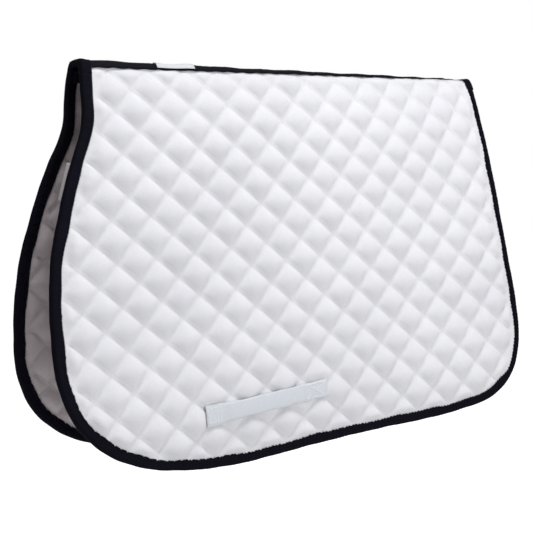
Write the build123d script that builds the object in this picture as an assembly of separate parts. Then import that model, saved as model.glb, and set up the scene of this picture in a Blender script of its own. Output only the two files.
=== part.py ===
from build123d import *
import os
from math import atan2, ceil, cos, degrees, hypot, pi, sin

# Quilted English saddle pad: two flaps of one cut, joined along a spine that lies on the horse's back.
# +X points to the horse's head, +Y to its left (near) side and +Z up, in millimetres.
# The origin is the middle of the ridge, where the pad hangs over the back or over a saddle rack.
# A flap is a sheet that leans outwards; a place on it is given by x and by its drop below the ridge.
# Each side is modelled towards +Y, and the far one is then mirrored.

# ---- Driving dimensions ----
RIDGE_FRONT = 309.0        # front end of the spine
RIDGE_REAR = -301.0        # rear end of the spine
BINDING_WIDTH = 12.5       # visible width of the bound edge on each face
QUILT_HALF_LENGTH = 25.0   # half of a quilted diamond's fore-and-aft diagonal
QUILT_HALF_HEIGHT = 23.7   # half of its up-and-down diagonal
QUILT_TILT = 3.9           # degrees that the diamonds lean out of level
QUILT_START = (250.0, 29.0)  # x and drop of one crossing of the quilting lines

# ---- Layers, as distances from the middle of the pad's thickness ----
AIR = 0.4                  # space left between neighbouring layers
WADDING_HALF = 2.2
CLOTH = 1.0                # cover and lining
TAPE = 0.8                 # binding and spine tapes
THREAD = 0.5
WEBBING = 1.4
COVER_INNER = WADDING_HALF + AIR
COVER_OUTER = COVER_INNER + CLOTH
LEAF_INNER = COVER_OUTER + AIR
LEAF_OUTER = LEAF_INNER + TAPE
THREAD_GAP = 0.85          # from a face to the thread that lies on it
ROW_CLEAR = 2.5            # from the binding to the ends of the quilting rows
THREAD_LOW = COVER_OUTER + THREAD_GAP
PAD_INSET = TAPE + AIR     # from the outside of the binding to the layers inside it

# ---- Spine: everything in it stays inside SPINE_RADIUS of the fold axis ----
FOLD_HEIGHT = -7.0         # height of the fold axis, which runs along X
SPINE_RADIUS = 9.5
FLAP_START_RADIUS = 10.0   # the flaps' layers begin here, clear of the spine
OUTER_START_DROP = 13.0    # the threads on the cover begin this far down
INNER_START_DROP = 23.0    # and those on the lining this far
CAP_INNER = SPINE_RADIUS - TAPE
TAPE_OUTER = 7.8
SEAM_OUTER = 6.6

# ---- Girth strap: a webbing keeper low on each flap ----
STRAP_FRONT = 186.0
STRAP_REAR = 16.0
STRAP_DROP = 388.0         # drop of its centre line at its middle
STRAP_TILT = 5.0           # degrees that it rises towards the rear
STRAP_WIDTH = 21.0
STRAP_SEWN_FRONT = 21.0
STRAP_SEWN_REAR = 33.0
STRAP_RAMP = 14.0
STRAP_STAND_OFF = 9.0      # how far the free middle bows away from the flap

# ---- Blank label folded over the spine ----
SPINE_LABEL_FRONT = 213.0
SPINE_LABEL_REAR = 162.0
SPINE_LABEL_INNER = 8.5
SPINE_LABEL_OUTER = 8.9
LABEL_STITCH = 0.6

# ---- Care label, sewn in behind the near flap's front edge ----
LABEL_TOP = (329.0, 114.0)     # x and drop of the two ends of its sewn edge
LABEL_BOTTOM = (339.5, 146.0)
LABEL_REACH = 12.0
LABEL_THICKNESS = 0.5
LABEL_TURN = 20.0              # degrees that it turns to the front

# ---- Shape of a flap ----
PROFILE_SPAN = 500.0
PROFILE = [(0, 0), (46, 19), (94, 33), (192, 53), (291, 69), (390, 83), (490, 84)]
STATIONS = [-330, -240, -150, -30, 70, 150, 215, 275, 332, 390]
SECTION_DROPS = [2, 20, 46, 94, 150, 192, 240, 291, 340, 390, 430, 480]
HALF_LENGTH = 300.0
NEAR_HANG = (0.0, 0.0)       # how far a flap closes in, as a slope: at mid-length, and how much more in front
FAR_HANG = (0.0137, 0.0674)  # the far flap hangs slightly twisted: closer in at the front, wider at the rear
SAG = 0.25                   # most that a straight piece of thread may leave the curve of the flap


def middle_spread(drop):
    """Half-width of the pad at mid-length: a smooth curve through PROFILE."""
    count = len(PROFILE)
    slopes = []
    for k in range(count):
        low = PROFILE[max(k - 1, 0)]
        high = PROFILE[min(k + 1, count - 1)]
        slopes.append((high[1] - low[1]) / (high[0] - low[0]))
    slopes[0] = 0.5
    k = max(i for i in range(count - 1) if PROFILE[i][0] <= max(drop, 0))
    (d0, y0), (d1, y1) = PROFILE[k], PROFILE[k + 1]
    step = d1 - d0
    t = (drop - d0) / step
    return (
        y0 * (1 + 2 * t) * (1 - t) ** 2
        + y1 * t * t * (3 - 2 * t)
        + slopes[k] * step * t * (1 - t) ** 2
        - slopes[k + 1] * step * t * t * (1 - t)
    )


def half_spread(hang, x, drop):
    """Distance of a flap from the middle of the pad: it closes in at the front and opens towards the rear."""
    u = x / HALF_LENGTH
    v = drop / PROFILE_SPAN
    closing, twist = hang
    opening = v * (11 * u * u + 9.5 * u ** 3 - 62.7 * u + 33.7 * u * v)
    return middle_spread(drop) + opening - drop * (closing + twist * u)


def layer_point(hang, x, drop, off):
    """Point at a distance off outside the middle of the flap, square to it across the pad."""
    lean = (half_spread(hang, x, drop + 1) - half_spread(hang, x, drop - 1)) / 2
    length = hypot(1, lean)
    return Vector(x, half_spread(hang, x, drop) + off / length, -drop + off * lean / length)


def lifted(hang, place, off):
    """A place of the X-Z plane moved onto the flap, at a distance off outside its middle."""
    return layer_point(hang, place.X, -place.Z, off)


def places_along(hang, edge, start=0.0, end=1.0):
    """Places on an edge in the X-Z plane, closer together where the flap curves."""
    first = lifted(hang, edge @ start, 0)
    span = lifted(hang, edge @ end, 0) - first
    leaves = []
    for share in (0.25, 0.5, 0.75):
        place = lifted(hang, edge @ (start + (end - start) * share), 0)
        leaves.append((place - first - span * share).length)
    if max(leaves) < SAG:
        return [edge @ start]
    middle = (start + end) / 2
    return places_along(hang, edge, start, middle) + places_along(hang, edge, middle, end)


def band(hang, inner, outer):
    """Closed sheet between two distances from the middle, longer and deeper than the flap."""
    sections = []
    for x in STATIONS:
        inside = [layer_point(hang, x, drop, inner) for drop in SECTION_DROPS]
        outside = [layer_point(hang, x, drop, outer) for drop in SECTION_DROPS]
        edges = [
            Spline(*outside),
            Line(outside[-1], inside[-1]),
            Spline(*inside),
            Line(inside[0], outside[0]),
        ]
        sections.append(Face(Wire(edges)))
    return loft(sections, ruled=True)


# Edge of the flap in the X-Z plane, from the front end of the spine round to its rear end.
FRONT_EDGE = [(RIDGE_FRONT, 0), (312, -36), (318, -75), (333, -109), (350, -157), (364, -206), (371.5, -290)]
LOWER_FRONT_CORNER = [(365, -350), (343, -393), (293, -431)]
BOTTOM_EDGE = [(205, -454), (-5, -442), (-210, -428)]
LOWER_REAR_CORNER = [(-258, -416), (-290, -388)]
REAR_EDGE = [(-305, -345), (-300.5, -250), (-293, -150), (-289, -60), (RIDGE_REAR, 0)]
FLAP_EDGE = FRONT_EDGE + LOWER_FRONT_CORNER + BOTTOM_EDGE + LOWER_REAR_CORNER + REAR_EDGE


def flap_edge(inset=0.0):
    """The flap's edge moved inwards by an inset, as one smooth curve in the X-Z plane."""
    edge = Plane.XZ * Spline(*FLAP_EDGE)
    if not inset:
        return edge
    count = 3 * len(FLAP_EDGE)
    moved = []
    for k in range(count + 1):
        inwards = (edge % (k / count)).cross(Vector(0, 1, 0))
        moved.append(edge @ (k / count) - inwards * inset)
    return Spline(*moved)


def outline_face(inset=0.0):
    """The inside of the flap's edge, carried up past the ridge."""
    top = 80.0
    edge = flap_edge(inset)
    front = edge @ 0
    rear = edge @ 1
    front_top = Vector(front.X, 0, top)
    rear_top = Vector(rear.X, 0, top)
    return make_face([edge, Line(rear, rear_top), Line(rear_top, front_top), Line(front_top, front)])


def outline_prism(inset=0.0):
    """Everything inside the outline less an inset, on the near side of the pad."""
    return extrude(outline_face(inset), amount=200, dir=(0, 1, 0), both=True)


def fold_rod(radius, start=-400.0, end=400.0):
    """Round bar about the fold axis."""
    centre = Plane(origin=(start, 0, FOLD_HEIGHT), z_dir=(1, 0, 0))
    return extrude(centre * Circle(radius), amount=end - start)


RIDGE_ROOM = fold_rod(FLAP_START_RADIUS)   # space that the flaps' layers leave for the spine


def flap_layer(hang, inner, outer, inset):
    """One full layer of the flap, cut to the outline less an inset."""
    return band(hang, inner, outer) & outline_prism(inset) - RIDGE_ROOM


def edge_binding(hang):
    """Folded tape that wraps the flap's cut edge: two leaves and the fold that joins them."""
    leaves = band(hang, -LEAF_OUTER, LEAF_OUTER) & outline_prism()
    slot = band(hang, -LEAF_INNER, LEAF_INNER) & outline_prism(TAPE)
    return leaves - slot - outline_prism(BINDING_WIDTH) - RIDGE_ROOM


def binding_seam(hang, off, start_drop):
    """Thread that runs round one face of the flap on its binding, as a chain of straight stitches."""
    edge = flap_edge(BINDING_WIDTH - 2)
    places = [place for place in places_along(hang, edge) if -place.Z > start_drop]
    path = [lifted(hang, place, off) for place in places]
    sections = []
    for k, centre in enumerate(path):
        ahead = path[min(k + 1, len(path) - 1)] - path[max(k - 1, 0)]
        outwards = lifted(hang, places[k], off + 1) - centre
        plane = Plane(origin=centre, x_dir=ahead.cross(outwards), z_dir=ahead)
        sections.append(plane * Rectangle(THREAD, THREAD))
    return loft(sections, ruled=True)


def binding_thread(hang):
    """Seam that holds the binding, on both faces of the flap."""
    off = LEAF_OUTER + THREAD_GAP + THREAD / 2
    rows = [binding_seam(hang, off, OUTER_START_DROP), binding_seam(hang, -off, INNER_START_DROP)]
    return Compound(children=[row.solid() for row in rows])


def quilt_directions():
    """The two directions of the quilting lines, as steps in x and z from crossing to crossing."""
    tilt = QUILT_TILT * pi / 180
    steps = []
    for up in (1, -1):
        along = QUILT_HALF_LENGTH * cos(tilt) + up * QUILT_HALF_HEIGHT * sin(tilt)
        rise = up * QUILT_HALF_HEIGHT * cos(tilt) - QUILT_HALF_LENGTH * sin(tilt)
        steps.append(Vector(-along, 0, -rise))
    return steps


def quilting_rows(hang, start_drop, run, across):
    """The quilting lines of one direction, as rows of places inside the binding."""
    above = Pos(0, 0, 100 - start_drop) * Box(900, 10, 200)
    inside = outline_face(BINDING_WIDTH + ROW_CLEAR) - above
    start = Vector(QUILT_START[0], 0, -QUILT_START[1])
    rows = []
    for k in range(-26, 27):
        centre = start + across * k
        line = Line(centre - run * 30, centre + run * 30)
        cut = line & inside
        for edge in [] if cut is None else cut.edges():
            rows.append([*places_along(hang, edge), edge @ 1])
    return rows


def flat_thread(hang, places, run, low, high):
    """Thread through a row of places in the X-Z plane, between two distances from the middle."""
    across = run.cross(Vector(0, 1, 0)).normalized()
    plane = Plane(origin=places[0], x_dir=run, z_dir=across)
    ring = [lifted(hang, place, low) for place in places]
    ring += [lifted(hang, place, high) for place in reversed(places)]
    corners = [plane.to_local_coords(corner) for corner in ring]
    profile = plane * make_face(Polyline(*[(corner.X, corner.Y) for corner in corners], close=True))
    return extrude(profile, amount=THREAD / 2, both=True)


def quilting_thread(hang):
    """Every quilting line as a thread on the cover and another on the lining."""
    first, second = quilt_directions()
    threads = []
    for run, across, low in ((first, second, THREAD_LOW), (second, first, THREAD_LOW + THREAD + 0.1)):
        high = low + THREAD
        for places in quilting_rows(hang, OUTER_START_DROP, run, across):
            threads.append(flat_thread(hang, places, run, low, high))
        for places in quilting_rows(hang, INNER_START_DROP, run, across):
            threads.append(flat_thread(hang, places, run, -high, -low))
    return Compound(children=[thread.solid() for thread in threads])


def strap_plane(hang):
    """Plane of the girth strap: its x axis runs back along the strap and its z axis points outwards."""
    middle = (STRAP_FRONT + STRAP_REAR) / 2
    half = (STRAP_FRONT - STRAP_REAR) / 2
    rise = half * sin(STRAP_TILT * pi / 180)
    front = layer_point(hang, STRAP_FRONT, STRAP_DROP + rise, COVER_OUTER)
    rear = layer_point(hang, STRAP_REAR, STRAP_DROP - rise, COVER_OUTER)
    upper = layer_point(hang, middle, STRAP_DROP - STRAP_WIDTH / 2, COVER_OUTER)
    lower = layer_point(hang, middle, STRAP_DROP + STRAP_WIDTH / 2, COVER_OUTER)
    along = rear - front
    return Plane(origin=front, x_dir=along, z_dir=(lower - upper).cross(along))


STRAP_LENGTH = STRAP_FRONT - STRAP_REAR
STRAP_LIFT = 3.0   # clears the quilting threads under the sewn ends


def girth_strap(hang):
    """Webbing sewn down at both ends, with a free middle that the girth passes behind."""
    bow = STRAP_LIFT + STRAP_STAND_OFF
    lower = [
        (0, STRAP_LIFT),
        (STRAP_SEWN_FRONT, STRAP_LIFT),
        (STRAP_SEWN_FRONT + STRAP_RAMP, bow),
        (STRAP_LENGTH - STRAP_SEWN_REAR - STRAP_RAMP, bow),
        (STRAP_LENGTH - STRAP_SEWN_REAR, STRAP_LIFT),
        (STRAP_LENGTH, STRAP_LIFT),
    ]
    upper = [(x, z + WEBBING) for x, z in reversed(lower)]
    strap = strap_plane(hang)
    side = Plane(origin=strap.origin, x_dir=strap.x_dir, z_dir=-strap.y_dir)
    profile = side * make_face(Polyline(*lower, *upper, close=True))
    return extrude(profile, amount=STRAP_WIDTH / 2, both=True)


def strap_box_stitch(strap, start, length):
    """Box of stitching with a cross in it, on one sewn end of the strap."""
    margin = 2.5
    half = STRAP_WIDTH / 2 - margin
    corners = [(start + margin, -half), (start + length - margin, -half)]
    corners += [(start + length - margin, half), (start + margin, half)]
    rows = [(corners[k], corners[(k + 1) % 4]) for k in range(4)]
    rows += [(corners[0], corners[2]), (corners[1], corners[3])]
    height = STRAP_LIFT + WEBBING + AIR
    stitch = None
    for (x0, y0), (x1, y1) in rows:
        middle = ((x0 + x1) / 2, (y0 + y1) / 2, height + THREAD / 2)
        turn = degrees(atan2(y1 - y0, x1 - x0))
        row = strap * Location(middle, (0, 0, turn)) * Box(hypot(x1 - x0, y1 - y0) + THREAD, THREAD, THREAD)
        stitch = row if stitch is None else stitch + row
    return stitch


def girth_strap_thread(hang):
    """Box stitches of both sewn ends."""
    strap = strap_plane(hang)
    front = strap_box_stitch(strap, 0, STRAP_SEWN_FRONT)
    rear = strap_box_stitch(strap, STRAP_LENGTH - STRAP_SEWN_REAR, STRAP_SEWN_REAR)
    return Compound(children=[*front.solids(), *rear.solids()])


def fold_arch(inner, outer, start, end, from_angle, to_angle):
    """Strip bent about the fold axis, between two angles from the top, positive to the near side."""
    ring = fold_rod(outer, start, end) - fold_rod(inner, start, end)
    wedge = [(0.0, 0.0)]
    steps = ceil((to_angle - from_angle) / 30)
    for k in range(steps + 1):
        angle = (from_angle + (to_angle - from_angle) * k / steps) * pi / 180
        wedge.append((4 * outer * sin(angle), 4 * outer * cos(angle)))
    plane = Plane(origin=(start, 0, FOLD_HEIGHT), x_dir=(0, 1, 0), z_dir=(1, 0, 0))
    return ring & extrude(plane * make_face(Polyline(*wedge, close=True)), amount=end - start)


def under_cut(level):
    """Everything below a level under the fold axis."""
    depth = 40.0
    return Pos(0, 0, FOLD_HEIGHT - level - depth / 2) * Box(900, 60, depth)


def spine_cap(start, end, closed_end):
    """Short length of binding folded over one end of the spine."""
    floor = 4.0
    shell = fold_rod(SPINE_RADIUS, start, end) - under_cut(floor)
    open_start = start + TAPE if closed_end < 0 else start
    open_end = end - TAPE if closed_end > 0 else end
    hollow = fold_rod(CAP_INNER, open_start, open_end) - under_cut(floor - TAPE)
    return shell - hollow


def spine_parts():
    """The pieces that stay with the ridge while the flaps fold."""
    front = RIDGE_FRONT - PAD_INSET
    rear = RIDGE_REAR + PAD_INSET
    cap_front = RIDGE_FRONT - BINDING_WIDTH
    cap_rear = RIDGE_REAR + BINDING_WIDTH
    lining_top = 1.6
    strip = Pos((front + rear) / 2, 0, FOLD_HEIGHT - lining_top - CLOTH / 2) * Box(front - rear, 11.0, CLOTH)
    row_radius = TAPE_OUTER + AIR / 2 + THREAD / 2
    rows = [
        Pos(cap_rear + AIR, row_radius * sin(a), FOLD_HEIGHT + row_radius * cos(a))
        * Rot(0, 90, 0)
        * Cylinder(THREAD / 4, cap_front - cap_rear - 2 * AIR, align=(Align.CENTER, Align.CENTER, Align.MIN))
        for a in (-0.8, 0.8)
    ]
    label_stitches = [
        fold_arch(SPINE_LABEL_OUTER + 0.2, SPINE_LABEL_OUTER + 0.5, x, x + LABEL_STITCH, -20, 75)
        for x in (SPINE_LABEL_REAR + 2, SPINE_LABEL_FRONT - 2 - LABEL_STITCH)
    ]
    return {
        "spine_seam_allowance": fold_rod(SEAM_OUTER, rear, front) - under_cut(lining_top - AIR),
        "spine_tape": fold_arch(SEAM_OUTER + AIR, TAPE_OUTER, rear, front, -80, 80),
        "spine_lining_tape": strip,
        "spine_thread": Compound(children=rows),
        "spine_label": fold_arch(
            SPINE_LABEL_INNER, SPINE_LABEL_OUTER, SPINE_LABEL_REAR, SPINE_LABEL_FRONT, -25, 80
        ),
        "spine_label_thread": Compound(children=[stitch.solid() for stitch in label_stitches]),
        "front_spine_binding": spine_cap(cap_front, RIDGE_FRONT, 1),
        "rear_spine_binding": spine_cap(RIDGE_REAR, cap_rear, -1),
    }


def care_label():
    """Blank folded care label that stands off the lining behind the front edge."""
    (top_x, top_drop), (bottom_x, bottom_drop) = LABEL_TOP, LABEL_BOTTOM
    clear = LEAF_OUTER + 2 * AIR
    top = layer_point(NEAR_HANG, top_x, top_drop, -clear)
    bottom = layer_point(NEAR_HANG, bottom_x, bottom_drop, -clear)
    turn = LABEL_TURN * pi / 180
    reach = Vector(sin(turn), -cos(turn), 0)
    plane = Plane(origin=(top + bottom) / 2, x_dir=bottom - top, z_dir=(bottom - top).cross(reach))
    size = ((bottom - top).length, LABEL_REACH, LABEL_THICKNESS)
    return plane * Box(*size, align=(Align.CENTER, Align.MIN, Align.CENTER))


def flap_parts(hang):
    """Every piece of one flap, on the +Y side."""
    return {
        "cover": flap_layer(hang, COVER_INNER, COVER_OUTER, PAD_INSET),
        "wadding": flap_layer(hang, -WADDING_HALF, WADDING_HALF, PAD_INSET),
        "lining": flap_layer(hang, -COVER_OUTER, -COVER_INNER, PAD_INSET),
        "quilting_thread": quilting_thread(hang),
        "edge_binding": edge_binding(hang),
        "binding_thread": binding_thread(hang),
        "girth_strap": girth_strap(hang),
        "girth_strap_thread": girth_strap_thread(hang),
    }


def main():
    os.makedirs("parts", exist_ok=True)
    nodes = {}
    for name, shape in flap_parts(NEAR_HANG).items():
        nodes[f"near_{name}"] = shape
    for name, shape in flap_parts(FAR_HANG).items():
        nodes[f"far_{name}"] = mirror(shape, about=Plane.XZ)
    nodes.update(spine_parts())
    nodes["care_label"] = care_label()
    for name, shape in nodes.items():
        export_step(shape, f"parts/{name}.step")
        print(name, len(shape.solids()), round(shape.volume / 1000, 2), "cm3")


main()
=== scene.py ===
from math import cos, pi, sin

import bpy
import numpy as np
from mathutils import Matrix, Vector
from mathutils.kdtree import KDTree


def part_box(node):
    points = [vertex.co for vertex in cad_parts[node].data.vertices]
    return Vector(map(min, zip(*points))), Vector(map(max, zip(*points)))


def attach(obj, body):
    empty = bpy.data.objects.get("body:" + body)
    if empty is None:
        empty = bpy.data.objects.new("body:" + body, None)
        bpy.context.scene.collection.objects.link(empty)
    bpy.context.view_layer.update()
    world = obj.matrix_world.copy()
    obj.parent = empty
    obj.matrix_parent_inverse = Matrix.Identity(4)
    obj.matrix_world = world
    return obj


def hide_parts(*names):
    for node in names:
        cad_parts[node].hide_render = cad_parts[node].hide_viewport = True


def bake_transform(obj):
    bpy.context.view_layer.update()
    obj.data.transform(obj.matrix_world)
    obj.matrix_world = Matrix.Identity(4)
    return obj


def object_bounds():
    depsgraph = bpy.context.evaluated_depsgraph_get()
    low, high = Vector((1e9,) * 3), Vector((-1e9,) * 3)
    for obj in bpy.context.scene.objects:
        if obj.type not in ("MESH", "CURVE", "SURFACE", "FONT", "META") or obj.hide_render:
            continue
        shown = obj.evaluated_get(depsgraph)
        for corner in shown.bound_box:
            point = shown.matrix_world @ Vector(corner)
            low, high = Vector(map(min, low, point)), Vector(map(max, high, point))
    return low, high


# The looks of the quilted saddle pad. Shapes are worked out in millimetres, in the frame of the CAD
# model: +X to the horse's head, +Y to its near side, +Z up, and the ridge along X through the origin.
# A place on a flap is its x and its drop below the ridge; off is the distance outside the middle of
# the pad's thickness, and negative towards the horse.

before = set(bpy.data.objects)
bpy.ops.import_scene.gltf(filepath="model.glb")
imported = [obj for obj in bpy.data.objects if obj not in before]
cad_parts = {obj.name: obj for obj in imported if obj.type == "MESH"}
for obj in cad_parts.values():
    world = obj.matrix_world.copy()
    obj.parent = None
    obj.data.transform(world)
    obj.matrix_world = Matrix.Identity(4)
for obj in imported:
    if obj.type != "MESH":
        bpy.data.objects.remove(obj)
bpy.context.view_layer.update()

METRES = 0.001

# ---- The flaps ----
# As in the CAD model, but the bottom and rear edges lie up to about 6 mm further out.
PROFILE_SPAN = 500.0
PROFILE = np.array([(0, 0), (46, 19), (94, 33), (192, 53), (291, 69), (390, 83), (490, 84)], float)
PROFILE_START_SLOPE = 0.5
HALF_LENGTH = 300.0
HANG = {"near": (0.0, 0.0), "far": (0.0137, 0.0674)}
RIDGE_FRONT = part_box("front_spine_binding")[1].x / METRES
RIDGE_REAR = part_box("rear_spine_binding")[0].x / METRES
RIDGE_ROUNDING = 4.0       # how far the fold of the ridge is rounded off
SHOULDER = 17.0            # how far the far flap stands out at the front, close below the ridge
FRONT_EDGE = [(RIDGE_FRONT, 0), (312, 36), (318, 75), (333, 109), (350, 157), (364, 206), (371.5, 290)]
LOWER_FRONT_CORNER = [(365, 350), (343, 393), (293, 431)]
BOTTOM_EDGE = [(205, 455), (-5, 446.5), (-210, 432)]
LOWER_REAR_CORNER = [(-259, 419), (-291, 389)]
REAR_EDGE = [(-306, 345), (-302.5, 250), (-297, 150), (-295.5, 65), (RIDGE_REAR, 0)]
FLAP_EDGE = FRONT_EDGE + LOWER_FRONT_CORNER + BOTTOM_EDGE + LOWER_REAR_CORNER + REAR_EDGE
BINDING_WIDTH = 12.5

# ---- Spine tape ----
SPINE_TAPE_WIDTH = 15.0
TAPE_NEAR_EDGE = [(RIDGE_REAR, -1.5), (-233, 0.0), (-168, 3.0), (0, 5.5), (204, 8.5), (RIDGE_FRONT, 9.7)]

# ---- Quilting ----
QUILT_HALF_LENGTH = 25.0
QUILT_HALF_HEIGHT = 23.7
QUILT_TILT = 3.9 * pi / 180
QUILT_START = (250.0, 33.3)   # x, and length of cloth from the ridge, of one crossing of the lines
CROWN = 8.0                   # half thickness of the pad in the middle of a diamond
CHANNEL = 1.0                 # and along the quilting lines
DOME_POWER = 0.85             # below 1 fills the diamond out towards its edges
LINING_FULLNESS = 0.8         # the lining's puffs, as a share of the cover's
BOUND_HALF = 2.4              # half thickness under the binding and the spine tape
CLOTH = 0.9
WADDING_SHARE = 0.55          # how much of the room under each cloth the wadding fills
STEPS_PER_DIAMOND = 10
STITCHES_PER_DIAMOND = 10
DIAMONDS_P = (-5, 23)         # diamonds counted along both quilting lines, enough to cover a flap
DIAMONDS_Q = (-14, 14)
LAYER_INSET = 1.5             # how far inside the edge the cover and the lining end
COVER_TOP = 0.3               # drop of their upper edges below the ridge
LINING_TOP = 9.0


# ======== Shape of the flaps ========

def smooth(value, low, high):
    """0 below low, 1 above high and a smooth rise between."""
    t = np.clip((value - low) / (high - low), 0, 1)
    return t * t * (3 - 2 * t)


def middle_spread(drop):
    """Half-width of the pad at mid-length: a smooth curve through PROFILE."""
    drop = np.maximum(drop, 0)
    places, widths = PROFILE.T
    slopes = np.gradient(widths)
    slopes[1:-1] = (widths[2:] - widths[:-2]) / (places[2:] - places[:-2])
    slopes[0] = PROFILE_START_SLOPE
    slopes[-1] = (widths[-1] - widths[-2]) / (places[-1] - places[-2])
    k = np.clip(np.searchsorted(places, drop, side="right") - 1, 0, len(places) - 2)
    step = places[k + 1] - places[k]
    t = (drop - places[k]) / step
    return (
        widths[k] * (1 + 2 * t) * (1 - t) ** 2
        + widths[k + 1] * t * t * (3 - 2 * t)
        + slopes[k] * step * t * (1 - t) ** 2
        - slopes[k + 1] * step * t * t * (1 - t)
    )


def shoulder(x, drop):
    """How far the front of the far flap stands out, close below the ridge."""
    return SHOULDER * smooth(x, 215, 300) * smooth(drop, 0, 5) * (1 - smooth(drop, 15, 105))


def half_spread(side, x, drop):
    """Distance of a flap from the middle of the pad: it closes in at the front and opens at the rear."""
    closing, twist = HANG[side]
    u = x / HALF_LENGTH
    v = drop / PROFILE_SPAN
    opening = v * (11 * u * u + 9.5 * u ** 3 - 62.7 * u + 33.7 * u * v)
    extra = shoulder(x, drop) if side == "far" else 0.0
    return middle_spread(drop) + opening - drop * (closing + twist * u) + extra


def middle_point(side, x, drop):
    """Place in the middle of the pad's thickness, with the fold at the ridge rounded off."""
    height = -np.sqrt(drop * drop + RIDGE_ROUNDING ** 2)
    return np.stack([x, half_spread(side, x, drop), height], -1)


def lay(side, x, drop, off):
    """Points of a flap at distances off from its middle, square to it."""
    x, drop, off = np.broadcast_arrays(*(np.asarray(value, float) for value in (x, drop, off)))
    step = 0.5
    here = middle_point(side, x, drop)
    forward = middle_point(side, x + step, drop) - middle_point(side, x - step, drop)
    down = middle_point(side, x, drop + step) - here
    outwards = np.cross(forward, down)
    outwards /= np.linalg.norm(outwards, axis=-1, keepdims=True)
    points = here + outwards * off[..., None]
    if side == "far":
        points[..., 1] *= -1
    return points


def out_of(side, x, drop, face):
    """Vectors square out of the cover, where face is 1, or out of the lining, where it is -1."""
    return lay(side, x, drop, 9.0 * face) - lay(side, x, drop, 0.0)


DROPS = np.linspace(0, 560, 1121)
CLOTH_LENGTHS = np.concatenate([[0], np.cumsum(np.hypot(np.diff(DROPS), np.diff(middle_spread(DROPS))))])


def drop_at(length):
    """Drop below the ridge of a place that far down the cloth."""
    return np.interp(length, CLOTH_LENGTHS, DROPS)


def length_at(drop):
    """Length of cloth from the ridge down to a drop."""
    return np.interp(drop, DROPS, CLOTH_LENGTHS)


def natural_spline(points, count):
    """Evenly spaced places on the smooth curve through points."""
    points = np.array(points, float)
    knots = np.concatenate([[0], np.cumsum(np.linalg.norm(np.diff(points, axis=0), axis=1))])
    gaps = np.diff(knots)
    size = len(points)
    matrix = np.eye(size)
    right = np.zeros_like(points)
    for k in range(1, size - 1):
        matrix[k, k - 1:k + 2] = gaps[k - 1], 2 * (gaps[k - 1] + gaps[k]), gaps[k]
        right[k] = 6 * ((points[k + 1] - points[k]) / gaps[k] - (points[k] - points[k - 1]) / gaps[k - 1])
    bends = np.linalg.solve(matrix, right)

    def at(where):
        k = np.clip(np.searchsorted(knots, where, side="right") - 1, 0, size - 2)
        gap = gaps[k][:, None]
        before = (where - knots[k])[:, None]
        after = gap - before
        return (
            (bends[k] * after ** 3 + bends[k + 1] * before ** 3) / (6 * gap)
            + (points[k] / gap - bends[k] * gap / 6) * after
            + (points[k + 1] / gap - bends[k + 1] * gap / 6) * before
        )

    fine = at(np.linspace(0, knots[-1], 8 * count))
    run = np.concatenate([[0], np.cumsum(np.linalg.norm(np.diff(fine, axis=0), axis=1))])
    even = np.linspace(0, run[-1], count)
    return np.stack([np.interp(even, run, fine[:, axis]) for axis in (0, 1)], -1), run[-1]


EDGE, EDGE_LENGTH = natural_spline(FLAP_EDGE, 1900)
EDGE_AHEAD = np.gradient(EDGE, axis=0)
EDGE_AHEAD /= np.linalg.norm(EDGE_AHEAD, axis=1, keepdims=True)
EDGE_INWARDS = np.stack([-EDGE_AHEAD[:, 1], EDGE_AHEAD[:, 0]], -1)
EDGE_TREE = KDTree(len(EDGE))
for index, place in enumerate(EDGE):
    EDGE_TREE.insert((place[0], place[1], 0), index)
EDGE_TREE.balance()


FRONT_PLACES = 300     # places of EDGE that run down its front


def front_edge_x(drop):
    """x of the front edge at a drop below the ridge."""
    return np.interp(drop, EDGE[:FRONT_PLACES, 1], EDGE[:FRONT_PLACES, 0])


def nearest_edge(x, drop):
    """Index of the nearest place on the edge, and how far inside the edge each place lies."""
    found = [EDGE_TREE.find((a, b, 0))[1] for a, b in zip(x.ravel(), drop.ravel())]
    nearest = np.array(found).reshape(x.shape)
    offset = np.stack([x, drop], -1) - EDGE[nearest]
    return nearest, (offset * EDGE_INWARDS[nearest]).sum(-1)


# ======== Mesh helpers ========

def make_object(name, points, faces, slot):
    """Smooth-shaded mesh object from points in millimetres, in the finish of its slot."""
    mesh = bpy.data.meshes.new(name)
    mesh.from_pydata((np.asarray(points).reshape(-1, 3) * METRES).tolist(), [], faces)
    mesh.validate()
    mesh.polygons.foreach_set("use_smooth", [True] * len(mesh.polygons))
    mesh.materials.append(MATERIALS[slot])
    made = bpy.data.objects.new(name, mesh)
    bpy.context.scene.collection.objects.link(made)
    return made


def ring_faces(stations, around):
    """Faces of a capped tube of stations rings with around points each."""
    faces = []
    for i in range(stations - 1):
        for j in range(around):
            k = (j + 1) % around
            faces.append((i * around + j, i * around + k, (i + 1) * around + k, (i + 1) * around + j))
    faces.append(tuple(reversed(range(around))))
    faces.append(tuple(range((stations - 1) * around, stations * around)))
    return faces


def thick_sheet(outer, inner, faces):
    """Closed skin: an outer sheet, an inner sheet and a wall round every free edge."""
    count = len(outer)
    sheet = [tuple(face) for face in faces]
    free = {}
    for face in sheet:
        for a, b in zip(face, face[1:] + face[:1]):
            if (b, a) in free:
                del free[(b, a)]
            else:
                free[(a, b)] = True
    walls = [(b, a, a + count, b + count) for a, b in free]
    inside = [tuple(i + count for i in reversed(face)) for face in sheet]
    return np.concatenate([outer, inner]), sheet + inside + walls


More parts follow.
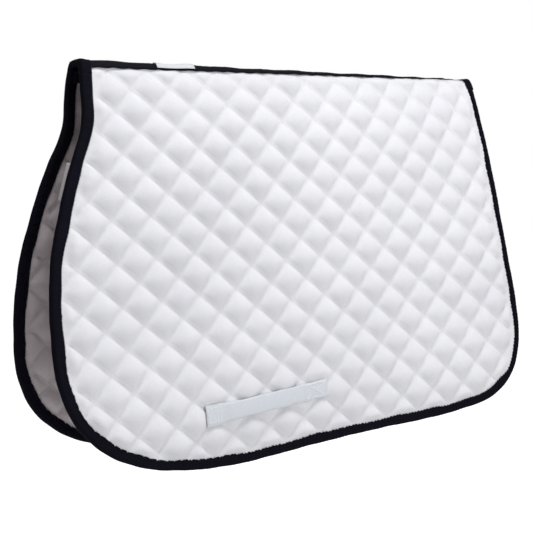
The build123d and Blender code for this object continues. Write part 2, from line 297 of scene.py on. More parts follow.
def beads(starts, ends, upwards, width, height, sides=6):
    """Stitches: one rounded bead of thread from each start to its end."""
    middles = (starts + ends) / 2
    halves = (ends - starts) / 2
    along = halves / np.linalg.norm(halves, axis=1, keepdims=True)
    across = np.cross(along, upwards)
    across /= np.linalg.norm(across, axis=1, keepdims=True)
    upright = np.cross(across, along)
    rings = [(-0.8, 0.7), (0.0, 1.0), (0.8, 0.7)]    # place along the stitch, and share of its size
    parts = [middles - halves]
    for place, size in rings:
        for k in range(sides):
            angle = 2 * pi * k / sides
            rim = across * (cos(angle) * width / 2 * size) + upright * (sin(angle) * height / 2 * size)
            parts.append(middles + halves * place + rim)
    parts.append(middles + halves)
    per_bead = len(parts)
    points = np.stack(parts, 1).reshape(-1, 3)
    pattern = []
    last = per_bead - 1
    for k in range(sides):
        n = (k + 1) % sides
        pattern.append((0, 1 + n, 1 + k))
        for ring in range(len(rings) - 1):
            low = 1 + ring * sides
            pattern.append((low + k, low + n, low + sides + n, low + sides + k))
        high = 1 + (len(rings) - 1) * sides
        pattern.append((last, high + k, high + n))
    faces = [tuple(i + per_bead * m for i in face) for m in range(len(starts)) for face in pattern]
    return points, faces


def join(*groups):
    """Several (points, faces) as one."""
    points, faces, count = [], [], 0
    for some_points, some_faces in groups:
        points.append(some_points)
        faces.extend(tuple(i + count for i in face) for face in some_faces)
        count += len(some_points)
    return np.concatenate(points), faces


def bend_with(piece):
    """Cloth that crosses the fold: its transform is baked into the mesh, and it is not tied to the spine or
    to a flap.
    """
    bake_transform(piece)


# ======== Materials ========

def node(tree, kind, inputs=(), **settings):
    """A shader node with its settings and inputs; an input is a value or another node's socket."""
    made = tree.nodes.new(kind)
    for name, value in settings.items():
        setattr(made, name, value)
    for name, value in dict(inputs).items():
        if isinstance(value, bpy.types.NodeSocket):
            tree.links.new(value, made.inputs[name])
        else:
            made.inputs[name].default_value = value
    return made


def stripes(tree, place, direction, pitch):
    """Bands across one axis, from 0 to 1, at a pitch in millimetres."""
    bands = 2 * pi / 20 / (pitch * METRES)    # the wave turns through 20 radians in each metre
    wave = node(tree, "ShaderNodeTexWave", {"Vector": place, "Scale": bands}, bands_direction=direction)
    return wave.outputs["Fac"]


def cloth_material(name, light, dark, rough, sheen, pitch, depth, gloss):
    """Woven cloth: thread bands both ways as bump, uneven yarn, and a slow drift of colour."""
    material = bpy.data.materials.new(name)
    material.use_nodes = True
    tree = material.node_tree
    shader = tree.nodes["Principled BSDF"]
    shader.inputs["Roughness"].default_value = rough
    shader.inputs["Sheen Weight"].default_value = sheen
    shader.inputs["Sheen Roughness"].default_value = 0.5
    shader.inputs["Specular IOR Level"].default_value = gloss
    place = node(tree, "ShaderNodeTexCoord").outputs["Object"]
    drift = node(tree, "ShaderNodeTexNoise", {"Vector": place, "Scale": 9.0, "Detail": 4.0}).outputs["Fac"]
    yarn = node(tree, "ShaderNodeTexNoise", {"Vector": place, "Scale": 600.0, "Detail": 2.0}).outputs["Fac"]
    uneven = node(tree, "ShaderNodeMath", {0: drift, 1: yarn}, operation="MULTIPLY").outputs[0]
    spread = node(tree, "ShaderNodeMapRange", {"Value": uneven, "From Min": 0.1, "From Max": 0.4}).outputs[0]
    colour = node(tree, "ShaderNodeMix", {"Factor": spread}, data_type="RGBA")
    colour.inputs["A"].default_value = (*dark, 1)
    colour.inputs["B"].default_value = (*light, 1)
    tree.links.new(colour.outputs["Result"], shader.inputs["Base Color"])
    first = stripes(tree, place, "X", pitch)
    second = stripes(tree, place, "Z", pitch)
    weave = node(tree, "ShaderNodeMath", {0: first, 1: second}, operation="MULTIPLY").outputs[0]
    relief = node(tree, "ShaderNodeMath", {0: weave, 1: yarn}, operation="ADD").outputs[0]
    bump = node(tree, "ShaderNodeBump", {"Height": relief, "Strength": 0.6, "Distance": depth * METRES})
    tree.links.new(bump.outputs["Normal"], shader.inputs["Normal"])
    return material


NAVY_WORN = (0.0025, 0.002, 0.009)
NAVY = (0.0008, 0.0005, 0.0035)

# For each slot: light and dark colour, roughness, sheen, pitch and depth of the weave in mm, gloss.
FINISHES = {
    "cover_cotton": ((0.83, 0.83, 0.86), (0.76, 0.76, 0.80), 0.8, 0.1, 0.7, 0.08, 0.25),
    "lining_cotton": ((0.68, 0.62, 0.64), (0.58, 0.52, 0.54), 0.9, 0.1, 0.8, 0.1, 0.25),
    "wadding": ((0.9, 0.9, 0.88), (0.8, 0.8, 0.78), 1.0, 0.3, 2.5, 0.6, 0.25),
    "binding": (NAVY_WORN, NAVY, 0.8, 0.0, 1.4, 0.25, 0.12),
    "spine_tape": (NAVY_WORN, NAVY, 0.8, 0.0, 1.4, 0.25, 0.2),
    "webbing": ((0.76, 0.79, 0.84), (0.68, 0.71, 0.77), 0.7, 0.1, 1.6, 0.3, 0.25),
    "quilting_thread": ((0.84, 0.84, 0.87), (0.76, 0.76, 0.8), 0.6, 0.1, 0.4, 0.1, 0.25),
    "webbing_thread": ((0.92, 0.92, 0.94), (0.84, 0.85, 0.88), 0.6, 0.1, 0.4, 0.1, 0.25),
    "binding_thread": (NAVY_WORN, NAVY, 0.6, 0.0, 0.4, 0.1, 0.15),
    "label_satin": ((0.74, 0.74, 0.77), (0.66, 0.66, 0.7), 0.35, 0.2, 0.4, 0.04, 0.25),
    "care_label": ((0.56, 0.52, 0.54), (0.5, 0.46, 0.48), 0.4, 0.2, 0.4, 0.04, 0.25),
}
MATERIALS = {slot: cloth_material(slot, *finish) for slot, finish in FINISHES.items()}


# ======== Quilted layers ========

def quilt_place(p, q):
    """x and length of cloth from the ridge of a place counted in diamonds along both quilting lines."""
    i = p + q
    j = p - q
    back = i * QUILT_HALF_LENGTH * cos(QUILT_TILT) + j * QUILT_HALF_HEIGHT * sin(QUILT_TILT)
    down = j * QUILT_HALF_HEIGHT * cos(QUILT_TILT) - i * QUILT_HALF_LENGTH * sin(QUILT_TILT)
    return QUILT_START[0] - back, QUILT_START[1] + down


def tape_near_edge(x):
    """How far the spine tape reaches down the near flap."""
    places = np.array(TAPE_NEAR_EDGE)
    return np.interp(x, places[:, 0], places[:, 1])


def beyond_tape(side, x, length):
    """How far below the edge of the spine tape a place lies."""
    reach = tape_near_edge(x)
    return length - (reach if side == "near" else SPINE_TAPE_WIDTH - reach)


def half_thickness(p, q, gap, below_tape):
    """Half thickness of the pad: domed diamonds, flattened under the binding and the spine tape."""
    part_p, part_q = p % 1, q % 1
    dome = np.clip(16 * part_p * (1 - part_p) * part_q * (1 - part_q), 0, 1) ** DOME_POWER
    row, column = np.floor(p), np.floor(q)
    fullness = 1 + 0.12 * np.sin(2.3 * row + 5.1 * column) * np.sin(4.7 * row - 1.9 * column)
    height = CHANNEL + (CROWN - CHANNEL) * dome * fullness
    free = smooth(gap, BINDING_WIDTH + 0.5, BINDING_WIDTH + 9) * smooth(below_tape, -1, 10)
    return BOUND_HALF + (height - BOUND_HALF) * free


def quilt_grid(side, steps, inset, top):
    """Grid of a quilted layer inside the flap's edge: places, half thickness and faces."""
    unit = np.arange(steps) / steps
    along_p = (np.arange(*DIAMONDS_P)[:, None] + unit).ravel()
    along_q = (np.arange(*DIAMONDS_Q)[:, None] + unit).ravel()
    p, q = np.meshgrid(along_p, along_q, indexing="ij")
    x, length = quilt_place(p, q)
    drop = drop_at(length)
    gap = nearest_edge(x, drop)[1]    # its sign only holds near the flap, hence the limits of x
    keep = (gap > inset) & (length > length_at(top)) & (x < 380) & (x > -320)
    rows, columns = p.shape
    number = np.arange(rows * columns).reshape(rows, columns)
    whole = keep[:-1, :-1] & keep[1:, :-1] & keep[1:, 1:] & keep[:-1, 1:]
    corners = [number[:-1, :-1], number[:-1, 1:], number[1:, 1:], number[1:, :-1]]
    faces = np.stack([corner[whole] for corner in corners], -1)
    used, faces = np.unique(faces, return_inverse=True)
    faces = faces.reshape(-1, 4)
    flat = {"p": p.ravel()[used], "q": q.ravel()[used], "x": x.ravel()[used], "drop": drop.ravel()[used]}
    snap_to_outline(flat, faces, inset, top)
    nearest, gap = nearest_edge(flat["x"], flat["drop"])
    below_tape = beyond_tape(side, flat["x"], length_at(flat["drop"]))
    flat["half"] = half_thickness(flat["p"], flat["q"], gap, below_tape)
    flat["gap"] = gap
    flat["run"] = nearest * EDGE_LENGTH / len(EDGE)
    if side == "far":
        faces = faces[:, ::-1]
    return flat, faces.tolist()


def snap_to_outline(flat, faces, inset, top):
    """Moves the grid's free vertices onto the inset edge, or onto the line along the ridge."""
    count = {}
    for face in faces.tolist():
        for a, b in zip(face, face[1:] + face[:1]):
            pair = (min(a, b), max(a, b))
            count[pair] = count.get(pair, 0) + 1
    free = sorted({v for pair, uses in count.items() if uses == 1 for v in pair})
    nearest, gap = nearest_edge(flat["x"][free], flat["drop"][free])
    for vertex, index, distance in zip(free, nearest, gap):
        to_ridge = flat["drop"][vertex] - top
        if to_ridge < distance - inset:
            flat["drop"][vertex] = top
        else:
            flat["x"][vertex], flat["drop"][vertex] = EDGE[index] + EDGE_INWARDS[index] * inset


def puckers(flat):
    """Small gathers square to the binding, that fade out over the first diamond."""
    run = flat["run"]
    wave = np.sin(run / 1.9 + 2 * np.sin(run / 17)) + 0.6 * np.sin(run / 1.1 + 1.3 * np.sin(run / 9))
    reach = smooth(flat["gap"], BINDING_WIDTH, 16) * (1 - smooth(flat["gap"], 16, 34))
    return 0.45 * wave * reach


def pressed_height(side, flat):
    """Height of the cover, pressed flat under the strap's sewn ends and clear of its middle."""
    front, along, down, outwards, length = strap_frame(side)
    offset = lay(side, flat["x"], flat["drop"], 0.0) - front
    at = offset @ along
    near_strap = 1 - smooth(np.abs(offset @ down), STRAP_WIDTH / 2, STRAP_WIDTH / 2 + 8)
    front_end = smooth(at, -7, 0) * (1 - smooth(at, STRAP_SEWN_FRONT, STRAP_SEWN_FRONT + 9))
    rear = length - STRAP_SEWN_REAR
    rear_end = smooth(at, rear - 9, rear) * (1 - smooth(at, length, length + 7))
    sewn = near_strap * np.maximum(front_end, rear_end)
    height = flat["half"] + (np.minimum(flat["half"], STRAP_LIFT - STRAP_CLEARANCE) - flat["half"]) * sewn
    under = smooth(at, -2, 2) * (1 - smooth(at, length - 2, length + 2))
    under *= np.abs(offset @ down) < STRAP_WIDTH / 2 + 2
    room = strap_height(length, at) - STRAP_CLEARANCE - offset @ outwards
    return height + (np.minimum(height, room) - height) * under


def quilted_cover(side):
    """Outer cotton of a flap, quilted into diamonds."""
    flat, faces = quilt_grid(side, STEPS_PER_DIAMOND, LAYER_INSET, COVER_TOP)
    height = pressed_height(side, flat) + puckers(flat)
    outer = lay(side, flat["x"], flat["drop"], height)
    inner = lay(side, flat["x"], flat["drop"], height - CLOTH)
    points, closed = thick_sheet(outer, inner, faces)
    made = make_object(f"{side}_quilted_cover", points, closed, "cover_cotton")
    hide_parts(f"{side}_cover")
    bend_with(made)


def quilted_lining(side):
    """Inner cotton of a flap, which lies against the horse."""
    flat, faces = quilt_grid(side, STEPS_PER_DIAMOND, LAYER_INSET, LINING_TOP)
    height = -LINING_FULLNESS * flat["half"] - puckers(flat)
    outer = lay(side, flat["x"], flat["drop"], height + CLOTH)
    inner = lay(side, flat["x"], flat["drop"], height)
    points, closed = thick_sheet(outer, inner, faces)
    made = make_object(f"{side}_quilted_lining", points, closed, "lining_cotton")
    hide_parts(f"{side}_lining")
    bend_with(made)


def wadding_core(side):
    """Polyester wadding between the cover and the lining, pinched along the quilting lines."""
    flat, faces = quilt_grid(side, STEPS_PER_DIAMOND // 2, 2 * LAYER_INSET, LINING_TOP)
    room = flat["half"] - CLOTH - 0.3
    height = np.maximum(WADDING_SHARE * room, 0.15)
    outer = lay(side, flat["x"], flat["drop"], height)
    inner = lay(side, flat["x"], flat["drop"], -height)
    points, closed = thick_sheet(outer, inner, faces)
    made = make_object(f"{side}_wadding_core", points, closed, "wadding")
    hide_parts(f"{side}_wadding")
    bend_with(made)


def quilting_stitches(side):
    """Every stitch of the quilting, on the cover and on the lining."""
    first, last = DIAMONDS_Q[0], DIAMONDS_P[1]
    along = np.arange(first * STITCHES_PER_DIAMOND, last * STITCHES_PER_DIAMOND)
    line, stitch = np.meshgrid(np.arange(first, last), along, indexing="ij")
    line, stitch = line.ravel().astype(float), stitch.ravel()
    start = (stitch + 0.1) / STITCHES_PER_DIAMOND
    end = (stitch + 0.9) / STITCHES_PER_DIAMOND
    groups = []
    for first_way in (True, False):
        begin = (line, start) if first_way else (start, line)
        finish = (line, end) if first_way else (end, line)
        for face, top in ((1, 9.0), (-1, 26.0)):    # under the spine tape and the tape below it
            groups.append(stitch_rows(side, begin, finish, face, top))
    points, faces = join(*groups)
    name = f"{side}_quilting_stitches"
    made = make_object(name, points, faces, "quilting_thread")
    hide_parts(f"{side}_quilting_thread")
    bend_with(made)


def stitch_rows(side, begin, finish, face, top):
    """The stitches of one direction on one face, as beads sunk into the channel."""
    ends = []
    keep = None
    for p, q in (begin, finish):
        x, length = quilt_place(p, q)
        drop = drop_at(length)
        inside = (length > top) & (length < 520) & (x < 375) & (x > -310)
        gap = np.full(x.shape, -1.0)
        gap[inside] = nearest_edge(x[inside], drop[inside])[1]
        inside &= gap > BINDING_WIDTH + 1
        keep = inside if keep is None else keep & inside
        ends.append((p, q, x, drop, gap, length))
    laid = []
    for p, q, x, drop, gap, length in ends:
        half = half_thickness(p[keep], q[keep], gap[keep], beyond_tape(side, x[keep], length[keep]))
        full = half if face > 0 else LINING_FULLNESS * half
        laid.append(lay(side, x[keep], drop[keep], face * (full + 0.1)))
    p, q, x, drop, gap, length = ends[0]
    return beads(*laid, out_of(side, x[keep], drop[keep], face), 0.6, 0.5, sides=4)


# ======== Bound edges ========

TAPE = 0.8
RIB = 1.0      # pitch of the binding's ribs
REAR_NARROWER = 3.0    # how much narrower the binding is along the rear edge
EDGE_TOP = 7.0         # drop below the ridge where a flap's binding starts, inside the spine's caps
SEAM_TOP = 12.0        # and where its stitches start


def rear_narrowing(x):
    """How much narrower the binding is at x than at the front."""
    return REAR_NARROWER * smooth(-x, 275, 292)


def binding_section(width):
    """Outside of the folded tape in section: distance inwards from the edge, and off, for one face."""
    inner_edge = [(width, 3.3), (width - 0.3, 3.75), (width - 2, 3.55)]
    return inner_edge + [(8.0, 4.1), (5.0, 4.5), (2.8, 4.4), (1.2, 3.5), (0.3, 1.9)]


def binding_ring(width):
    """Closed section of the folded tape, outside and then inside, as (inwards, off)."""
    face = binding_section(width)
    outside = face + [(0.0, 0.0)] + [(a, -b) for a, b in reversed(face)]
    thin = [(a, b - TAPE) for a, b in face[:4]] + [(5.0, 3.6), (3.2, 3.3), (2.0, 2.5), (1.2, 1.3)]
    inside = thin + [(0.9, 0.0)] + [(a, -b) for a, b in reversed(thin)]
    return outside + inside[::-1]


def uneven(run, size, seed):
    """Slow hand-sewn waviness along a length, in millimetres."""
    return size * (
        np.sin(run / 23 + seed)
        + 0.7 * np.sin(run / 9.7 + 2.1 * seed)
        + 0.5 * np.sin(run / 4.9 + 3.7 * seed)
    )


def swept_binding(side, places, inwards, runs, rise, seed):
    """The folded tape along places of the edge, with its ribs and a slightly wavy inner edge."""
    rings = []
    for place, direction, run, lift in zip(places, inwards, runs, rise):
        rib = 0.16 * (1 if int(round(run / RIB)) % 2 else -1)
        narrower = float(rear_narrowing(place[0]))
        width = BINDING_WIDTH - narrower + float(uneven(run, 0.6, seed)) + 3.5 * rib
        section = np.array(binding_ring(width))
        section[:, 0] -= float(uneven(run, 0.3, seed + 5))
        section[:, 1] += np.sign(section[:, 1]) * (lift + rib)
        x = place[0] + direction[0] * section[:, 0]
        drop = np.maximum(place[1] + direction[1] * section[:, 0], 0.0)
        rings.append(lay(side, x, drop, section[:, 1]))
    points = np.concatenate(rings)
    faces = ring_faces(len(rings), len(rings[0]))
    if side == "near":
        faces = [face[::-1] for face in faces]
    return points, faces


def edge_binding(side):
    """Dark tape folded over the edge of a flap, from the front of the spine round to its rear."""
    count = int(EDGE_LENGTH / RIB)
    pick = np.linspace(0, len(EDGE) - 1, count).round().astype(int)
    pick = pick[EDGE[pick][:, 1] > EDGE_TOP]
    runs = pick * EDGE_LENGTH / len(EDGE)
    seed = 0.4 if side == "near" else 2.9
    lift = np.maximum(uneven(runs, 0.1, seed + 1), -0.2)
    points, faces = swept_binding(side, EDGE[pick], EDGE_INWARDS[pick], runs, lift, seed)
    made = make_object(f"{side}_bound_edge", points, faces, "binding")
    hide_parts(f"{side}_edge_binding")
    bend_with(made)


def binding_stitches(side):
    """Seam of dark stitches near the inner edge of the binding, on both faces."""
    pitch = 3.0
    count = int(EDGE_LENGTH / pitch)
    begin = np.linspace(0, len(EDGE) - 1, count).round().astype(int)
    begin = begin[EDGE[begin][:, 1] > SEAM_TOP][:-1]
    finish = begin + int(pitch * 0.8 * len(EDGE) / EDGE_LENGTH)
    groups = []
    for face in (1, -1):
        ends = []
        for pick in (finish, begin):
            inset = BINDING_WIDTH - 2 - rear_narrowing(EDGE[pick, 0])
            place = EDGE[pick] + EDGE_INWARDS[pick] * inset[:, None]
            ends.insert(0, lay(side, place[:, 0], place[:, 1], face * 3.75))
        upwards = out_of(side, place[:, 0], place[:, 1], face)
        groups.append(beads(*ends, upwards, 0.7, 0.6))
    points, faces = join(*groups)
    name = f"{side}_binding_stitches"
    made = make_object(name, points, faces, "binding_thread")
    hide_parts(f"{side}_binding_thread")
    bend_with(made)


# ======== Girth strap ========

STRAP_DROP = 388.0
STRAP_TILT = 5.0 * pi / 180
STRAP_WIDTH = 21.0
STRAP_SEWN_FRONT = 21.0
STRAP_SEWN_REAR = 33.0
STRAP_RAMP = 14.0
STRAP_STAND_OFF = 1.6
STRAP_CLEARANCE = 0.4
WEBBING = 1.4
STRAP_LIFT = 4.4      # from the flap's middle plane to the underside of a sewn end


def strap_frame(side):
    """Start point, unit vectors along, down and outwards, and the length of a girth strap."""
    low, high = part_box(f"{side}_girth_strap")
    front_x, rear_x = high.x / METRES - 0.6, low.x / METRES + 0.6
    middle = (front_x + rear_x) / 2
    rise = (front_x - rear_x) / 2 * sin(STRAP_TILT)
    front = lay(side, front_x, STRAP_DROP + rise, 0.0)
    rear = lay(side, rear_x, STRAP_DROP - rise, 0.0)
    upper = lay(side, middle, STRAP_DROP - STRAP_WIDTH / 2, 0.0)
    lower = lay(side, middle, STRAP_DROP + STRAP_WIDTH / 2, 0.0)
    length = np.linalg.norm(rear - front)
    along = (rear - front) / length
    outwards = np.cross(lower - upper, along)
    outwards *= np.sign(outwards[1]) * (1 if side == "near" else -1)
    outwards /= np.linalg.norm(outwards)
    down = np.cross(outwards, along) * (1 if side == "near" else -1)
    return front, along, down, outwards, length


def strap_height(length, at):
    """How far the underside of the strap stands off, at a distance along it."""
    up = smooth(at, STRAP_SEWN_FRONT, STRAP_SEWN_FRONT + STRAP_RAMP)
    down = 1 - smooth(at, length - STRAP_SEWN_REAR - STRAP_RAMP, length - STRAP_SEWN_REAR)
    return STRAP_LIFT + STRAP_STAND_OFF * np.minimum(up, down)


def girth_strap(side):
    """Webbing keeper: both ends sewn down and the middle free for the girth."""
    front, along, down, outwards, length = strap_frame(side)
    stations = int(length / 1.2)
    flare = 2.2
    across = np.linspace(-1, 1, 15)
    rings = []
    for k, at in enumerate(np.linspace(0, length, stations)):
        height = float(strap_height(length, at))
        rib = 0.12 * (1 if k % 2 else -1)
        crown = 0.5 * (1 - across ** 2)
        top = height + WEBBING + rib + crown - 0.5 * (np.abs(across) > 0.99)
        bottom = height + crown - rib + 0.3 * (np.abs(across) > 0.99)
        width = STRAP_WIDTH / 2 + 0.25 * sin(at / 5.0) + rib + flare * float(1 - smooth(at, 15, 40))
        line = front + along * at + down * width * across[:, None]
        upper_side = line + outwards * top[:, None]
        lower_side = line + outwards * bottom[:, None]
        rings.append(np.concatenate([upper_side, lower_side[::-1]]))
    faces = ring_faces(stations, len(rings[0]))
    if side == "far":
        faces = [face[::-1] for face in faces]
    made = make_object(f"{side}_girth_keeper", np.concatenate(rings), faces, "webbing")
    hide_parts(f"{side}_girth_strap")
    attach(made, f"{side}_flap")


def strap_seams(length):
    """Rows of stitching on both sewn ends, as pairs of (along, across) in the strap's plane."""
    edge = STRAP_WIDTH / 2 - 2.2
    rows = []
    for at in (2.5, 7.0, 14.0, 18.5):
        rows.append(((at, -edge), (at, edge)))
    first = length - STRAP_SEWN_REAR + 2.5
    last = length - 2.5
    corners = [(first, -edge), (last, -edge), (last, edge), (first, edge)]
    rows += [(corners[k], corners[(k + 1) % 4]) for k in range(4)]
    rows += [(corners[0], corners[2]), (corners[1], corners[3])]
    rows += [((2.5, -edge), (18.5, -edge)), ((2.5, edge), (18.5, edge))]
    return rows


def strap_stitches(side):
    """Bar rows at the front end and a crossed box at the rear end."""
    front, along, down, outwards, length = strap_frame(side)
    pitch = 2.8
    starts, ends = [], []
    for begin, finish in strap_seams(length):
        begin, finish = np.array(begin), np.array(finish)
        count = max(2, round(float(np.linalg.norm(finish - begin)) / pitch))
        for k in range(count):
            pair = [begin + (finish - begin) * (k + share) / count for share in (0.08, 0.92)]
            for (at, across), group in zip(pair, (starts, ends)):
                crown = 0.5 * (1 - (across / (STRAP_WIDTH / 2)) ** 2)
                height = STRAP_LIFT + WEBBING + crown + 0.12
                group.append(front + along * at + down * across + outwards * height)
    starts, ends = np.array(starts), np.array(ends)
    points, faces = beads(starts, ends, np.tile(outwards, (len(starts), 1)), 1.2, 0.9)
    name = f"{side}_girth_keeper_stitches"
    made = make_object(name, points, faces, "webbing_thread")
    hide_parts(f"{side}_girth_strap_thread")
    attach(made, f"{side}_flap")


# ======== Spine ========

TAPE_TOP = 4.1                # off of the top of the spine tape
LABEL_TOP = 5.2               # and of the label on it
LABEL_THICK = 0.4
LABEL_REACH = (2.2, 11.0)     # from the tape's near edge to both long edges of the label
UNDERSIDE = -4.2              # off of the tape under the ridge, and of the care label's root
CAP_REACH = (16.0, -18.0)     # length of cloth from the ridge to both ends of a cap
ALLOWANCE_SIDES = 10


def over_ridge(x, length, off):
    """Point at a length of cloth from the ridge: positive on the near flap, negative on the far."""
    side = "near" if length >= 0 else "far"
    return lay(side, x, drop_at(abs(length)), off)


def out_of_ridge(x, length):
    """Vector square out of the cover at a length of cloth from the ridge."""
    return over_ridge(x, length, 9.0) - over_ridge(x, length, 0.0)


def ridge_bump(x):
    """Slight rise and fall of the ridge over the quilting below."""
    return 0.35 * sin(x / 8.2) + 0.3 * sin(x / 21.0 + 1.0)


def spine_tape():
    """Dark tape sewn over the ridge."""
    pieces = 14
    rings = []
    front, rear = RIDGE_FRONT - 3, RIDGE_REAR + 3
    count = int((front - rear) / RIB)
    for k, x in enumerate(np.linspace(front, rear, count)):
        rib = 0.12 * (1 if k % 2 else -1)
        near = tape_near_edge(x) + 0.4 * sin(x / 3.1) + rib
        lengths = np.linspace(near, near - SPINE_TAPE_WIDTH, pieces)
        lift = ridge_bump(x) + rib
        top = [over_ridge(x, s, TAPE_TOP + lift) for s in lengths]
        bottom = [over_ridge(x, s, TAPE_TOP + lift - TAPE) for s in lengths]
        rings.append(np.array(top + bottom[::-1]))
    faces = ring_faces(len(rings), 2 * pieces)
    made = make_object("spine_ribbon", np.concatenate(rings), faces, "spine_tape")
    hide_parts("spine_tape")
    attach(made, "spine")


def spine_stitches():
    """Two rows of stitches that hold the spine tape, one near each of its edges."""
    pitch = 3.0
    places = np.arange(RIDGE_REAR + 14, RIDGE_FRONT - 14, pitch)
    starts, ends, upwards = [], [], []
    for inwards in (1.6, SPINE_TAPE_WIDTH - 1.6):
        for x in places:
            for at, group in ((x, starts), (x + 0.8 * pitch, ends)):
                length = tape_near_edge(at) - inwards
                group.append(over_ridge(at, length, TAPE_TOP + 0.1 + ridge_bump(at)))
            upwards.append(out_of_ridge(x, tape_near_edge(x) - inwards))
    points, faces = beads(np.array(starts), np.array(ends), np.array(upwards), 0.7, 0.6)
    made = make_object("spine_stitches", points, faces, "binding_thread")
    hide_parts("spine_thread")
    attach(made, "spine")


def lining_ribbon():
    """Dark tape under the ridge, over the edges of both linings."""
    reach = [24.0, 19.0, 15.0, 12.0]
    rings = []
    for x in np.linspace(RIDGE_FRONT - 4, RIDGE_REAR + 4, 200):
        near = [lay("near", x, drop, UNDERSIDE) for drop in reach]
        far = [lay("far", x, drop, UNDERSIDE) for drop in reversed(reach)]
        top = [np.array([x, side * 1.2, -13.0]) for side in (1, -1)]
        under = np.array(near + top + far)
        above = under + np.array([0, 0, TAPE])
        rings.append(np.concatenate([under, above[::-1]]))
    faces = [face[::-1] for face in ring_faces(len(rings), len(rings[0]))]
    made = make_object("lining_ribbon", np.concatenate(rings), faces, "spine_tape")
    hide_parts("spine_lining_tape")
    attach(made, "spine")


def seam_allowance():
    """The cut edges of all the layers, gathered inside the fold of the ridge."""
    half_width, half_height, middle = 1.5, 2.6, -8.0
    rings = []
    for k, x in enumerate(np.linspace(RIDGE_FRONT - 5, RIDGE_REAR + 5, 160)):
        ring = []
        for step in range(ALLOWANCE_SIDES):
            angle = 2 * pi * step / ALLOWANCE_SIDES
            wobble = 1 + 0.08 * sin(k * 1.7 + step * 2.4)
            across = half_width * wobble * cos(angle)
            ring.append((x, across, middle + half_height * wobble * sin(angle)))
        rings.append(np.array(ring))
    faces = ring_faces(len(rings), ALLOWANCE_SIDES)
    made = make_object("seam_allowance", np.concatenate(rings), faces, "wadding")
    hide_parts("spine_seam_allowance")
    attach(made, "spine")


def spine_cap(name, node_name, inwards):
    """Binding over the front end of the ridge, where inwards is -1, or over its rear end."""
    rings = []
    for k, length in enumerate(np.linspace(*CAP_REACH, 35)):
        rib = 0.12 * (1 if k % 2 else -1)
        section = np.array(binding_ring(BINDING_WIDTH + 0.5 + rib))
        lift = 0.9 + rib - 0.5 * smooth(abs(length), 10, 16)
        off = section[:, 1] + np.sign(section[:, 1]) * lift
        off = np.where(off < 0, np.maximum(off, -3.5) * 0.9, off)
        drop = float(drop_at(abs(length)))
        edge = front_edge_x(drop) if inwards < 0 else RIDGE_REAR
        side = "near" if length >= 0 else "far"
        rings.append(lay(side, edge + inwards * section[:, 0], drop, off))
    faces = ring_faces(len(rings), len(rings[0]))
    if inwards > 0:
        faces = [face[::-1] for face in faces]
    made = make_object(name, np.concatenate(rings), faces, "binding")
    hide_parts(node_name)
    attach(made, "spine")


def spine_label():
    """Blank woven label folded over the ridge on top of the spine tape."""
    low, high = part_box("spine_label")
    rings = []
    for x in np.linspace(high.x / METRES, low.x / METRES, 24):
        near = tape_near_edge(x)
        lengths = np.linspace(near - LABEL_REACH[0], near - LABEL_REACH[1], 9)
        curl = 0.2 * sin((x - low.x / METRES) / 6.0)
        lift = LABEL_TOP + ridge_bump(x) + curl
        top = [over_ridge(x, s, lift) for s in lengths]
        bottom = [over_ridge(x, s, lift - LABEL_THICK) for s in lengths]
        rings.append(np.array(top + bottom[::-1]))
    faces = ring_faces(len(rings), len(rings[0]))
    made = make_object("spine_tag", np.concatenate(rings), faces, "label_satin")
    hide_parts("spine_label")
    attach(made, "spine")


def label_stitches():
    """A row of stitches down each short end of the spine label."""
    low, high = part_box("spine_label")
    starts, ends, upwards = [], [], []
    for x in (low.x / METRES + 2.0, high.x / METRES - 2.0):
        near = tape_near_edge(x)
        for k in range(4):
            first = near - 2.6 - 2.1 * k
            starts.append(over_ridge(x, first, LABEL_TOP + 0.1 + ridge_bump(x)))
            ends.append(over_ridge(x, first - 1.9, LABEL_TOP + 0.1 + ridge_bump(x)))
            upwards.append(out_of_ridge(x, first))
    points, faces = beads(np.array(starts), np.array(ends), np.array(upwards), 0.6, 0.5)
    made = make_object("label_stitches", points, faces, "webbing_thread")
    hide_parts("spine_label_thread")
    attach(made, "spine")


def care_label():
    """Blank folded label, sewn in behind the front binding and standing off the lining."""
    low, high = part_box("care_label")
    top, bottom = -high.z / METRES - 6, -low.z / METRES + 2
    rings = []
    for drop in np.linspace(top, bottom, 16):
        root = lay("near", front_edge_x(drop) - 3.5, drop, UNDERSIDE)
        sag = 1.2 * sin((drop - top) / 14)
        outline = [(0, 0.0), (2, 0.3), (4, 0.8), (5.5, 1.4), (7, 2.1)]
        middle = [(reach, -step + sag * step / 14) for step, reach in outline]
        front = [root + np.array([reach + 0.25, across, 0]) for reach, across in middle]
        back = [root + np.array([reach - 0.25, across, 0]) for reach, across in middle]
        rings.append(np.array(front + back[::-1]))
    faces = ring_faces(len(rings), len(rings[0]))
    made = make_object("folded_care_label", np.concatenate(rings), faces, "care_label")
    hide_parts("care_label")
    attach(made, "near_flap")


# ======== Stage ========

CAMERA_PLACE = (0.9168, 1.1246, -0.0562)
CAMERA_YAW = 0.6583
CAMERA_PITCH = -0.1291
CAMERA_ROLL = 0.0212
CAMERA_LENS = 78.2


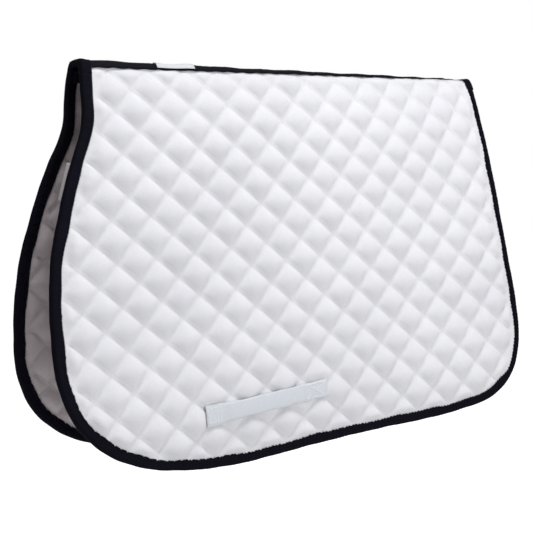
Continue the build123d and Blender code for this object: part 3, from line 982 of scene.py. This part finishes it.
def add_camera():
    """Camera at the pad's near front quarter, a little above its middle."""
    data = bpy.data.cameras.new("camera")
    data.lens = CAMERA_LENS
    data.sensor_width = 36.0
    camera = bpy.data.objects.new("camera", data)
    bpy.context.scene.collection.objects.link(camera)
    ahead = Vector((
        -sin(CAMERA_YAW) * cos(CAMERA_PITCH),
        -cos(CAMERA_YAW) * cos(CAMERA_PITCH),
        sin(CAMERA_PITCH),
    ))
    right = ahead.cross(Vector((0, 0, 1))).normalized()
    up = right.cross(ahead)
    turned_right = right * cos(CAMERA_ROLL) + up * sin(CAMERA_ROLL)
    turned_up = up * cos(CAMERA_ROLL) - right * sin(CAMERA_ROLL)
    rotation = Matrix((turned_right, turned_up, -ahead)).transposed()
    camera.matrix_world = Matrix.Translation(CAMERA_PLACE) @ rotation.to_4x4()
    bpy.context.scene.camera = camera


def add_light(name, place, target, size, power):
    """Soft square light aimed at a point."""
    data = bpy.data.lights.new(name, "AREA")
    data.size = size
    data.energy = power
    light = bpy.data.objects.new(name, data)
    bpy.context.scene.collection.objects.link(light)
    light.location = place
    light.rotation_mode = "QUATERNION"
    light.rotation_quaternion = (Vector(target) - Vector(place)).to_track_quat("-Z", "Y")


def add_floor():
    """Plain pale floor below the hanging pad."""
    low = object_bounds()[0]
    size = 12.0
    height = low.z - 0.35
    mesh = bpy.data.meshes.new("floor")
    corners = [(-size, -size, height), (size, -size, height), (size, size, height), (-size, size, height)]
    mesh.from_pydata(corners, [], [(0, 1, 2, 3)])
    material = bpy.data.materials.new("pale_floor")
    material.use_nodes = True
    shader = material.node_tree.nodes["Principled BSDF"]
    shader.inputs["Base Color"].default_value = (0.9, 0.9, 0.9, 1)
    shader.inputs["Roughness"].default_value = 0.9
    shader.inputs["Emission Color"].default_value = (1, 1, 1, 1)
    seen = node(material.node_tree, "ShaderNodeLightPath").outputs["Is Camera Ray"]
    glow = node(material.node_tree, "ShaderNodeMapRange", {"Value": seen, "To Min": 0.0, "To Max": 0.8})
    material.node_tree.links.new(glow.outputs[0], shader.inputs["Emission Strength"])
    mesh.materials.append(material)
    floor = bpy.data.objects.new("floor", mesh)
    bpy.context.scene.collection.objects.link(floor)


def light_world():
    """White surroundings: bright to the camera, softer as a light."""
    world = bpy.data.worlds.new("studio")
    world.use_nodes = True
    bpy.context.scene.world = world
    tree = world.node_tree
    background = tree.nodes["Background"]
    background.inputs["Color"].default_value = (1, 1, 1, 1)
    seen = node(tree, "ShaderNodeLightPath").outputs["Is Camera Ray"]
    strength = node(tree, "ShaderNodeMapRange", {"Value": seen, "To Min": 0.24, "To Max": 1.0}).outputs[0]
    tree.links.new(strength, background.inputs["Strength"])
    bpy.context.scene.view_settings.view_transform = "Standard"


def build():
    for side in ("near", "far"):
        quilted_cover(side)
        quilted_lining(side)
        wadding_core(side)
        quilting_stitches(side)
        edge_binding(side)
        binding_stitches(side)
        girth_strap(side)
        strap_stitches(side)
    spine_tape()
    spine_stitches()
    lining_ribbon()
    seam_allowance()
    spine_cap("front_cap", "front_spine_binding", -1)
    spine_cap("rear_cap", "rear_spine_binding", 1)
    spine_label()
    label_stitches()
    care_label()
    add_camera()
    light_world()
    add_light("key", (0.1, 0.62, 1.8), (0.0, 0.0, -0.2), 0.8, 29)
    add_light("fill", (-0.3, 2.2, 0.1), (0.0, 0.0, -0.2), 1.6, 19)
    add_floor()


build()
